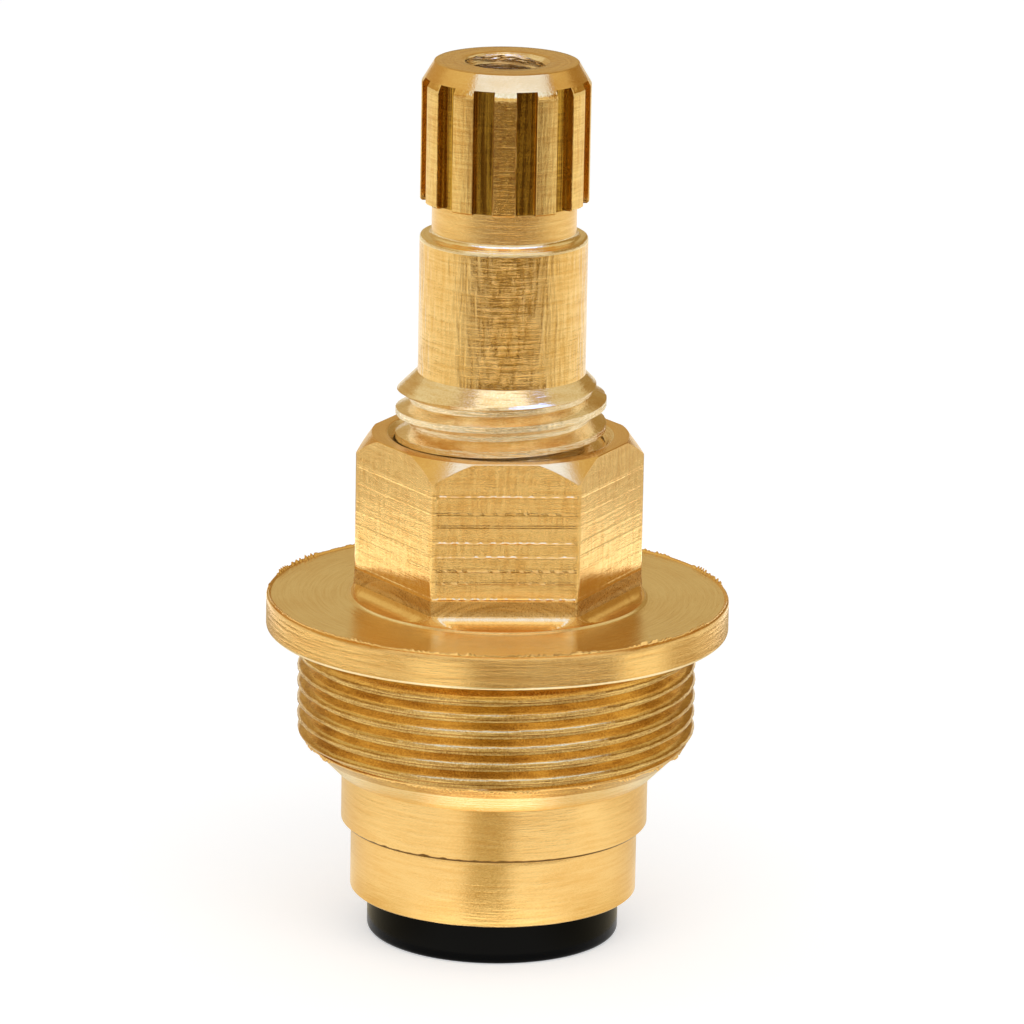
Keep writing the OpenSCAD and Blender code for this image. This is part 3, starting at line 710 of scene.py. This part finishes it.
def makeBonnet(size):
    side = fullTurn / 6
    within = np.linspace(0, side, size["columnsPerSide"], endpoint=False)
    # A column close on each side of every corner
    within[1] = size["cornerColumn"]
    within = np.append(within, side - size["cornerColumn"])
    angle = np.hstack([within + side * k for k in range(6)])[None, :]
    fromFlat = (angle % side) - side / 2
    hexR = np.minimum(size["apothem"] / np.cos(fromFlat), size["cornerR"] - size["cornerEdge"])
    rows = Rows(angle)
    top, foot, flange = heights["hexTop"], heights["hexFoot"], heights["flange"]
    threadEnd, skirt, stop = heights["threadEnd"], heights["skirt"], heights["stop"]
    # Lead thread up to the countersunk mouth
    leadWall = lambda a, z: np.maximum(bonnetLead(a, z, size), size["mouthR"] - (top - z))
    rows.thread(leadWall, stop + 0.02, top - 0.03, *bonnetGroove, leadKnots[::2], chased, upward=True)
    # Top face and the chamfered corners
    topR = np.minimum(size["topR"], hexR - size["cornerEdge"])
    fall = (size["cornerR"] - size["topR"]) / size["chamferH"]
    chamferZ = top - np.maximum((hexR - topR) / fall, 0.05)
    rows.add(size["mouthR"] + 0.03, top)
    rows.add(0.5 * (topR + size["mouthR"]), top)
    t = steps(0, 1, 4)
    rows.add(topR + t * (hexR - topR), top + t * (chamferZ - top))
    # Flats with the dashed ridges of the cutter's feed, then the radius that it leaves on the turned land
    land = foot + size["landH"]
    footTop = land + size["footR"]
    rows.add(hexR, chamferZ - 0.03, milled)
    flatZ, flatRise = feedRidges(feedSizes, size["apothem"], fromFlat, side)
    rows.add(hexR + flatRise / np.cos(fromFlat), np.minimum(flatZ, chamferZ - 0.04), milled)
    # The flats' lowest band, and below it the top of the radius, are darkened as painted shade
    rows.add(hexR, column([size["shadeBandZ"], size["shadeBandZ"] - 0.04, footTop]), boredAndShaded)
    turn = np.radians(column(size["footDegrees"]))
    away = (size["apothem"] + size["footR"] * (1 - np.cos(turn))) / np.cos(fromFlat)
    finish = np.where(np.degrees(turn) < 15, boredAndShaded, turned)
    rows.add(np.minimum(away, size["cornerR"]), footTop - size["footR"] * np.sin(turn), finish)
    landR = size["landR"]
    rows.turned([(landR - 0.03, land), (landR, land - 0.02), (landR + 0.05, foot + 0.06),
        (landR + 0.11, foot + 0.02), (landR + 0.2, foot)], faced)
    # Flange: its top, the rim and the lower face with its undercut
    flangeR, edge, low = size["flangeR"], size["flangeEdge"], size["flangeLowEdge"]
    rows.add(steps(size["flangeInnerR"], flangeR - 1.5 * edge, 11), foot, faced)
    rows.turned([(flangeR - edge, foot), (flangeR - 0.3 * edge, foot - 0.3 * edge)])
    rows.add(flangeR, steps(foot - edge, flange + low + 0.02, 7))
    turn = np.radians(column(size["flangeLowDegrees"]))
    rows.add(flangeR - low * (1 - np.cos(turn)), flange + low * (1 - np.sin(turn)), faced)
    undercut = flange + size["seatReliefH"]
    threadTop = flange - size["reliefH"]
    rows.turned([(flangeR - low, flange), (size["seatR"], flange), (size["seatReliefR"], flange),
        (size["seatReliefR"], undercut), (size["reliefR"], undercut),
        (size["reliefR"], threadTop + 0.05)], faced)
    # Body thread, out through the chamfer
    shares = sorted([share for share, _ in size["threadSection"][:-1]] + size["threadKnots"])
    rows.thread(lambda a, z: bodyThread(a, z, size), threadEnd + size["threadLow"], threadTop,
        size["threadPitch"], flange, size["threadDegrees"], np.array(shares) * size["threadPitch"], threaded)
    rise = column(size["chamferSteps"])
    rows.add(size["threadR"] - size["chamferRun"] + rise, threadEnd + rise, faced)
    # Skirt with its torn edge, bore and stop; its edge and underside carry painted seam shade
    edge, skirtR, boreR = size["skirtEdge"], size["skirtR"], size["boreR"]
    rows.turned([(skirtR + 0.33, threadEnd), (skirtR + 0.04, threadEnd)])
    rows.add(skirtR, steps(threadEnd - 0.04, skirt + 0.3, 7))
    torn = np.clip(np.cos(angle - math.radians(size["tearDegrees"])), 0, 1) ** 8
    torn = size["tearBase"] + size["tearMm"] * torn * np.clip(waves(angle, 0, *size["tearWaves"]), 0, 2)
    rows.add(skirtR, skirt + edge + torn, seamShade)
    rows.add(skirtR - edge - 0.5 * torn, skirt + 0.5 * torn, seamShade)
    rows.turned([(skirtR - 2.5 * edge, skirt), (boreR + 0.1, skirt), (boreR, skirt + 0.1)], seamShade)
    rows.turned([(boreR, size["boreRowZ"]), (boreR, stop), (size["minorR"] + 0.3, stop)], boredAndShaded)
    piece = rows.build("bonnetTurned", brassFinishes)
    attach(piece, "bonnet")
    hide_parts("bonnet")
    return piece


bonnet = makeBonnet(bonnetSizes)
print("bonnet:", len(bonnet.data.polygons), "faces")

# The two lips. inner and outer are the (radius, height) of their foot points
flangeLipSizes = {
    "inner": (13.6, 20.9),
    "outer": (13.78, 20.9),
    "lean": (0.4, 1.0),
    "low": 0.09,
    "high": 0.28,
    "wavesPerTurn": 300,
    "patchesPerTurn": 26,
    "columns": 1400,
    "seed": 21,
}
threadLipSizes = {
    "inner": (11.5, 12.08),
    "outer": (11.34, 11.96),
    "lean": (0.6, -0.8),
    "low": 0.03,
    "high": 0.2,
    "wavesPerTurn": 380,
    "patchesPerTurn": 40,
    "columns": 1200,
    "seed": 61,
}
# What the lips share. The section gives the share of the way from foot to foot, and the share of the height
# or, below 0, the depth in mm
lipShape = {
    "section": [(0, -0.05), (0.08, 0.15), (0.42, 0.9), (0.7, 1.0), (0.92, 0.45), (1, -0.05)],
    "waves": 60,
    "steep": 1.2,
    "patches": 14,
    "sharpDegrees": 50,
}


def makeLip(name, size, material):
    # The lip of metal that the tool pushed over an edge: a closed section between the two foot points, whose
    # tip stands off along the lean by low + (high - low) x a ragged wave round the edge x a slow one
    angle = evenColumns(size["columns"])
    ragged = waves(angle, 0, lipShape["waves"], size["wavesPerTurn"], 0, size["seed"])
    ragged = 0.5 + 0.5 * np.tanh(lipShape["steep"] * ragged)
    patches = waves(angle, 0, lipShape["patches"], size["patchesPerTurn"], 0, size["seed"] + 1)
    patches = np.clip(0.5 + 0.5 * patches, 0, 1)
    high = size["low"] + (size["high"] - size["low"]) * ragged * patches
    inner, outer, lean = (np.asarray(size[key], float) for key in ("inner", "outer", "lean"))
    across = outer - inner
    rows = Rows(angle)
    for share, up in lipShape["section"]:
        rise = high * up if up > 0 else up + 0 * high
        rows.add(inner[0] + across[0] * share + lean[0] * rise, inner[1] + across[1] * share + lean[1] * rise)
    piece = rows.build(name, [material], sharpDegrees=lipShape["sharpDegrees"])
    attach(piece, "bonnet")
    return piece


flangeLip = makeLip("flangeLip", flangeLipSizes, turnedBrass)
threadLip = makeLip("threadLip", threadLipSizes, turnedBrass)
print("lips:", len(flangeLip.data.polygons) + len(threadLip.data.polygons), "faces")


# Jumper valve and its washer

jumperSizes = {
    "stemFaceR": 1.5,
    "stemR": 3.0,
    "stemTop": 14.88,
    "stemRowZ": 9.5,
    "clipR": 2.4,
    "clipLow": 11.96,
    "clipHigh": 12.6,
    "collarR": 6.4,
    "cupR": 8.65,
    "recessR": 7.65,
    "recessTop": 4.3,
    "screwR": 2.0,
    "screwTop": 8.8,
    "columns": 240,
}


def makeJumper(size):
    rows = Rows(evenColumns(size["columns"]))
    collar, cup, cupTop = heights["collarTop"], heights["cup"], heights["cupTop"]
    stemR, stemTop, clipR = size["stemR"], size["stemTop"], size["clipR"]
    cupR, recessR = size["cupR"], size["recessR"]
    rows.turned([(size["stemFaceR"], stemTop), (stemR - 0.3, stemTop), (stemR, stemTop - 0.3),
        (stemR, size["clipHigh"]), (clipR, size["clipHigh"]), (clipR, size["clipLow"]),
        (stemR, size["clipLow"]), (stemR, size["stemRowZ"])])
    # The collar, inside the skirt's bore, is material 1, darkened as painted seam shade
    rows.turned([(stemR, collar), (size["collarR"] - 0.05, collar), (size["collarR"], collar - 0.05),
        (size["collarR"], cupTop)], 1)
    rows.turned([(cupR - 0.07, cupTop), (cupR - 0.02, cupTop - 0.02), (cupR, cupTop - 0.07)])
    rows.add(cupR, steps(cupTop - 0.3, cup + 0.3, 9))
    rows.turned([(cupR, cup + 0.06), (cupR - 0.06, cup), (recessR + 0.08, cup), (recessR, cup + 0.08),
        (recessR, size["recessTop"]), (size["screwR"], size["recessTop"]),
        (size["screwR"], size["screwTop"])])
    piece = rows.build("jumperTurned", [turnedBrass, seamShadeBrass], (stemTop, size["screwTop"]))
    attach(piece, "jumper")
    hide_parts("jumper_valve")
    return piece


jumper = makeJumper(jumperSizes)
print("jumper:", len(jumper.data.polygons), "faces")

washerSizes = {
    "outerR": 7.6,
    "edge": 0.35,
    "top": 4.28,
    "faceRows": [6.4, 5.4],
    "holeR": 2.0,
    "holeRowZ": 3.2,
    "sinkR": 4.2,
    "sinkTop": 2.2,
    "sinkRowZ": 1.1,
    "sinkRowR": 3.0,
    "columns": 220,
}


def makeWasher(size):
    rows = Rows(evenColumns(size["columns"]))
    outerR, holeR, sinkR = size["outerR"], size["holeR"], size["sinkR"]
    top, sinkTop, edge = size["top"], size["sinkTop"], size["edge"]
    rows.turned([(holeR, sinkTop), (holeR, size["holeRowZ"]), (holeR, top), (outerR, top)])
    rows.add(outerR, steps(top - 0.3, edge + 0.15, 9))
    turn = np.radians(steps(0, 90, 8))
    rows.add(outerR - edge * (1 - np.cos(turn)), edge * (1 - np.sin(turn)))
    rows.add(column(size["faceRows"]), 0)
    rows.turned([(sinkR + 0.12, 0), (sinkR, 0.12), (sinkR, size["sinkRowZ"]), (sinkR, sinkTop),
        (size["sinkRowR"], sinkTop)])
    piece = rows.build("seatWasherMoulded", [washerRubber])
    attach(piece, "jumper")
    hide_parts("seat_washer")
    return piece


seatWasher = makeWasher(washerSizes)
print("seat washer:", len(seatWasher.data.polygons), "faces")

# Nodes that keep their own solids
finishes = {
    "upper_o_ring": ringRubber,
    "lower_o_ring": ringRubber,
    "thrust_washer": thrustFibre,
    "stem_clip": clipSteel,
    "screw_washer": turnedBrass,
    "washer_screw": turnedBrass,
}
for node, material in finishes.items():
    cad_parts[node].data.materials.clear()
    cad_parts[node].data.materials.append(material)
print("kept nodes:", ", ".join(finishes))


# Camera, from the photograph: a long lens, 15 degrees above the object and a little to its left

cameraSizes = {
    "distance": 449.7,
    "lens": 264.0,
    "azimuth": -3.1,
    "elevation": 14.98,
    "roll": 1.04,
    "targetZ": 26.03,
    "targetRight": 0.77,
}


def towards(azimuth, elevation):
    # Unit vector from the object, azimuth degrees to the right of the front (-Y) and elevation degrees up
    a, e = math.radians(azimuth), math.radians(elevation)
    return Vector((math.sin(a) * math.cos(e), -math.cos(a) * math.cos(e), math.sin(e)))


def makeCamera(size):
    back = towards(size["azimuth"], size["elevation"])
    a = math.radians(size["azimuth"])
    right = Vector((math.cos(a), math.sin(a), 0))
    target = (Vector((0, 0, size["targetZ"])) + right * size["targetRight"]) * millimetre
    data = bpy.data.cameras.new("camera")
    data.sensor_width = 36
    data.lens = size["lens"]
    camera = bpy.data.objects.new("camera", data)
    scene.collection.objects.link(camera)
    turn = (-back).to_track_quat("-Z", "Y").to_matrix()
    turn = turn @ Matrix.Rotation(math.radians(size["roll"]), 3, "Z")
    camera.matrix_world = Matrix.Translation(target + back * size["distance"] * millimetre) @ turn.to_4x4()
    data.clip_start, data.clip_end = 0.01, 20
    scene.camera = camera


makeCamera(cameraSizes)

# Studio: a pale floor and a bright surround, one soft lamp above the camera, and the screens, ceiling cards
# and toned table that only reflections see

studio = {
    "floorColour": "#E6E6E6",
    "floorLift": 0.47,
    "floorReach": 3000,
    "surround": 0.62,
}
softbox = {
    "azimuth": 5,
    "elevation": 52,
    "distance": 700,
    "width": 700,
    "depth": 300,
    "aimZ": 27,
    "radiance": 1.6,
}
# Screens, as a photographer sets them round metal: from and to in degrees to the right of the front, distance
# from the axis, foot and head in mm, colour and glow
screens = {
    "left curtain": (-170, -60, 1300, 40, 2300, "#C6A873", 1.0),
    "right curtain": (64, 170, 1300, 40, 2300, "#A88850", 1.0),
    "back cloth": (170, 190, 1300, 40, 1500, "#C6AC79", 1.0),
    "front cloth": (-60, 64, 1100, 60, 2100, "#F0E6D6", 1.0),
    "low window": (-26, 28, 1000, 150, 640, "#F0E2C4", 1.0),
    "left window": (-150, -61, 900, 450, 1450, "#E4D4AC", 1.0),
    "right window": (75, 150, 900, 450, 1450, "#DCCAA0", 1.0),
    "high window": (-60, 74, 900, 700, 1450, "#9AB3FF", 3.2),
}
# Cards overhead: height, corners, colour and glow
ceiling = {
    "ceiling card": (2310, [(-1320, -1320), (1320, -1320), (1320, 1320), (-1320, 1320)], "#CDB184", 1.0),
    "ceiling window": (2300, [(-950, -1250), (950, -1250), (800, -250), (-800, -250)], "#FAF0DC", 1.32),
}


def seenDirectly(tree):
    # 1 for rays from the camera and for those that metal and glass send on, 0 for light on the object
    path = addNode(tree, "LightPath").outputs
    first = combine(tree, "Math", "MAXIMUM", path["Is Camera Ray"], path["Is Glossy Ray"])
    return combine(tree, "Math", "MAXIMUM", first, path["Is Transmission Ray"])


def stagePiece(name, points, faces, material):
    # Points in mm
    mesh = bpy.data.meshes.new(name)
    mesh.from_pydata(np.asarray(points, float) * millimetre, [], faces)
    piece = bpy.data.objects.new(name, mesh)
    piece.data.materials.append(material)
    scene.collection.objects.link(piece)
    return piece


def onlyReflected(piece):
    piece.visible_camera = piece.visible_diffuse = piece.visible_shadow = False


def glowing(name, colour, glow):
    # A card or cloth that gives off an even light
    material, tree = newMaterial(name)
    light = addNode(tree, "Emission", None, {"Color": linear(colour), "Strength": glow})
    output(tree, light)
    return material


def makeFloor(settings):
    # Matt white above, clear from below
    material, tree = newMaterial("matt white floor")
    diffuse = addNode(tree, "BsdfDiffuse", None, {"Color": linear(settings["floorColour"])})
    glow = addNode(tree, "Emission", None, {"Color": (1, 1, 1, 1), "Strength": settings["floorLift"]})
    shown = addNode(tree, "MixShader", None, {0: seenDirectly(tree), 2: glow.outputs[0]})
    both = addNode(tree, "AddShader", None, {0: diffuse.outputs[0], 1: shown.outputs[0]})
    side = addNode(tree, "NewGeometry")
    clear = addNode(tree, "BsdfTransparent")
    sided = addNode(tree, "MixShader", None,
        {0: side.outputs["Backfacing"], 1: both.outputs[0], 2: clear.outputs[0]})
    output(tree, sided)
    reach = settings["floorReach"]
    corners = [(-reach, -reach, 0), (reach, -reach, 0), (reach, reach, 0), (-reach, reach, 0)]
    stagePiece("floor", corners, [[0, 1, 2, 3]], material)


def makeSurround(settings):
    world = bpy.data.worlds.new("surround")
    scene.world = world
    world.use_nodes = True
    tree = world.node_tree
    tree.nodes.clear()
    level = addNode(tree, "Mix", {"data_type": "FLOAT"},
        {"Factor": seenDirectly(tree), "A": settings["surround"], "B": 1.0})
    light = addNode(tree, "Background", None, {"Color": (1, 1, 1, 1), "Strength": level.outputs[0]})
    addNode(tree, "OutputWorld", None, {"Surface": light.outputs[0]})


def makeLamp(name, size):
    # An area lamp facing the object's middle; its power is radiance x pi x area
    toward = towards(size["azimuth"], size["elevation"])
    data = bpy.data.lights.new(name, "AREA")
    data.shape = "RECTANGLE"
    data.size, data.size_y = size["width"] * millimetre, size["depth"] * millimetre
    data.energy = size["radiance"] * math.pi * data.size * data.size_y
    lamp = bpy.data.objects.new(name, data)
    lamp.location = Vector((0, 0, size["aimZ"] * millimetre)) + toward * size["distance"] * millimetre
    lamp.rotation_mode = "QUATERNION"
    lamp.rotation_quaternion = toward.to_track_quat("Z", "Y")
    lamp.visible_camera = lamp.visible_glossy = False
    scene.collection.objects.link(lamp)


def makeScreen(name, start, end, distance, low, high, colour, glow):
    # Point (row, column) = (distance sin angle, -distance cos angle, height): part of a cylinder round the
    # axis
    count = 13
    angle = np.radians(np.linspace(start, end, count))
    foot = np.stack([np.sin(angle), -np.cos(angle), 0 * angle], -1) * distance
    points = np.vstack([foot + [0, 0, low], foot + [0, 0, high]])
    k = np.arange(count - 1)
    faces = np.stack([k, k + 1, k + 1 + count, k + count], -1).tolist()
    onlyReflected(stagePiece(name, points, faces, glowing(name, colour, glow)))


def makeCard(name, height, corners, colour, glow):
    points = [(x, y, height) for x, y in corners]
    onlyReflected(stagePiece(name, points, [[0, 1, 2, 3]], glowing(name, colour, glow)))


# What the walls of the brass see of the table. Each entry has the distances from the axis in mm at which it
# stands, its tones in front, at the sides and far round, the brightness of each, the direction of the first
# one's middle, and the angles from there between which the second tone and then the third take over. The
# height above the floor and the step between directions come first
tonesHeight = 0.5
tonesDegrees = 3.0
floorTones = [
    ((8, 15), "#FFF8EC", "#F0E0BC", "#F0E4CC", 1.6, 1.0, 1.1, -6, 20, 60, 80, 140),
    ((18, 33), "#CABC98", "#FFF8EC", "#F0E2C4", 1.0, 1.1, 0.95, -7, 6, 22, 75, 140),
    ((35, 48), "#DED2B4", "#FFFCF8", "#F6ECD6", 1.0, 1.12, 0.95, -5, 6, 24, 60, 120),
    ((56, 80), "#6A5026", "#F4EAD6", "#B6A27A", 1.0, 1.3, 1.0, 20, 28, 42, 54, 70),
    ((84, 91), "#E0D8C4", "#F4F0E4", "#F8F4EE", 2.0, 1.2, 2.7, 32, 14, 60, 60, 96),
    ((95,), "#E6D6B2", "#EAE2CE", "#E6DCC6", 0.86, 0.96, 0.78, 6, 40, 70, 84, 116),
    ((119,), "#EADCBC", "#EAE2CE", "#E6DCC6", 0.95, 0.96, 0.8, 6, 40, 70, 84, 116),
    ((123, 132), "#ECE6E2", "#D8C8A4", "#D8C8A4", 2.0, 0.95, 0.9, 6, 30, 64, 80, 120),
    ((137, 163), "#2C1804", "#FDFBF6", "#FDFBF6", 1.0, 1.15, 1.15, 3, 20, 100, 100, 130),
    ((165, 174), "#F2DCA8", "#FDFBF6", "#FDFBF6", 2.9, 1.15, 1.15, 5, 10, 60, 90, 130),
    ((176, 230), "#3E2408", "#F4ECDC", "#F4ECDC", 1.0, 1.15, 1.15, 3, 22, 78, 90, 130),
    ((320, 1000), "#8C7040", "#E6DCC4", "#E6DCC4", 1.0, 1.0, 1.0, 0, 20, 100, 110, 130),
]


def makeFloorTones(table):
    # Point (row, column) = (distance sin a, -distance cos a, height). Its tone goes from the first to the
    # second and on to the third by t = u u (3 - 2 u), where u is how far the direction is through each fade
    direction = np.arange(-180, 180, tonesDegrees)
    rings = [(distance, *entry[1:]) for entry in table for distance in entry[0]]
    value = lambda k: column([ring[k] for ring in rings])
    distance = value(0)
    front, side, far = (np.array([linear(ring[k])[:3] for ring in rings]) * value(k + 3) for k in (1, 2, 3))
    off = abs(direction[None, :] - value(7))
    tone = front[:, None, :]
    for aim, k in ((side, 8), (far, 10)):
        u = np.clip((off - value(k)) / (value(k + 1) - value(k)), 0, 1)
        tone = tone + (aim[:, None, :] - tone) * (u * u * (3 - 2 * u))[:, :, None]
    a = np.radians(direction)[None, :]
    points = np.stack([distance * np.sin(a), -distance * np.cos(a), tonesHeight + 0 * distance * a], -1)
    index = np.arange(tone.shape[0] * tone.shape[1]).reshape(tone.shape[:2])
    beside = np.roll(index, -1, 1)
    faces = np.stack([index[:-1], beside[:-1], beside[1:], index[1:]], -1).reshape(-1, 4).tolist()
    material, tree = newMaterial("toned table")
    read = addNode(tree, "Attribute", {"attribute_name": "tone"})
    glow = addNode(tree, "Emission", None, {"Color": read.outputs["Color"], "Strength": 1.0})
    output(tree, glow)
    piece = stagePiece("floorTones", points.reshape(-1, 3), faces, material)
    tones = piece.data.color_attributes.new("tone", "FLOAT_COLOR", "POINT")
    opaque = np.concatenate([tone.reshape(-1, 3), np.ones((index.size, 1))], 1)
    tones.data.foreach_set("color", opaque.reshape(-1))
    onlyReflected(piece)


makeFloor(studio)
makeSurround(studio)
makeLamp("softbox", softbox)
for name, settings in screens.items():
    makeScreen(name, *settings)
for name, settings in ceiling.items():
    makeCard(name, *settings)
makeFloorTones(floorTones)
print("studio:", len(screens), "screens and", len(ceiling), "ceiling cards")

scene.view_settings.view_transform = "Standard"
